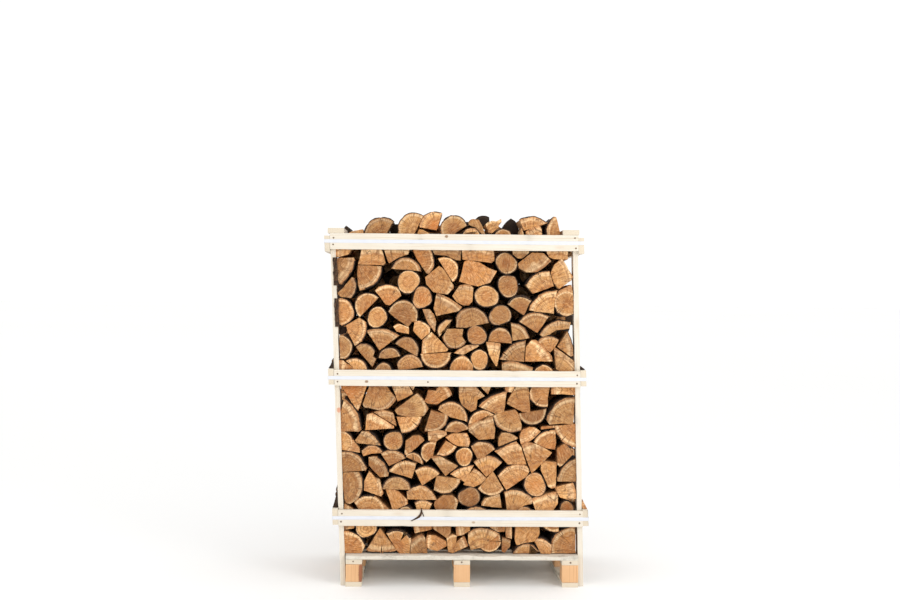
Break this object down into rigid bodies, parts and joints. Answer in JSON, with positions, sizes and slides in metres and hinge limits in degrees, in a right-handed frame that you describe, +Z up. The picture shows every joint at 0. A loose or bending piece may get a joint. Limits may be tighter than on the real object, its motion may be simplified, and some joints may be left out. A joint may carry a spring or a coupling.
{
  "type": "firewood crate",
  "caption": "Softwood pallet crate strapped round stacked split firewood, cut ends showing at front and back, heaped above the top rails.",
  "frame": {"origin": "middle of the crate's footprint, on the ground; the crate leans, so the pallet's own middle is 32.7 mm towards +X", "axes": "+Z up, +Y from the front face to the back, +X to the right seen from the front"},
  "size_m": [1.2492, 0.8024, 1.751],
  "materials": {
    "spruce_board": "sawn, pale, unpainted",
    "deck_board": "rough sawn, slightly weathered",
    "pallet_block": "sawn end grain",
    "log_wood": "sawn ends and split faces",
    "bark": "rough bark",
    "strap_plastic": "embossed strapping band",
    "nail_steel": "dull nail heads"
  },
  "bodies": {
    "root": {"bottom_board_left": "spruce_board", "bottom_board_middle": "spruce_board", "bottom_board_right": "spruce_board", "block_front_left": "pallet_block", "block_front_middle": "pallet_block", "block_front_right": "pallet_block", "block_middle_left": "pallet_block", "block_middle_middle": "pallet_block", "block_middle_right": "pallet_block", "block_back_left": "pallet_block", "block_back_middle": "pallet_block", "block_back_right": "pallet_block", "stringer_left": "spruce_board", "stringer_middle": "spruce_board", "stringer_right": "spruce_board", "deck_board_1": "deck_board", "deck_board_2": "deck_board", "deck_board_3": "deck_board", "deck_board_4": "deck_board", "deck_board_5": "deck_board", "deck_board_6": "deck_board", "post_front_left": "spruce_board", "post_front_right": "spruce_board", "post_back_left": "spruce_board", "post_back_right": "spruce_board", "rail_front_bottom": "spruce_board", "rail_front_middle": "spruce_board", "rail_front_top": "spruce_board", "rail_back_bottom": "spruce_board", "rail_back_middle": "spruce_board", "rail_back_top": "spruce_board", "rail_left_bottom": "spruce_board", "rail_left_middle": "spruce_board", "rail_left_top": "spruce_board", "rail_right_bottom": "spruce_board", "rail_right_middle": "spruce_board", "rail_right_top": "spruce_board", "strap_bottom": "strap_plastic", "strap_middle": "strap_plastic", "strap_top": "strap_plastic", "top_board_left": "spruce_board", "top_board_right": "spruce_board", "log_row_front": "log_wood", "log_row_middle": "log_wood", "log_row_back": "log_wood"}
  },
  "joints": []
}
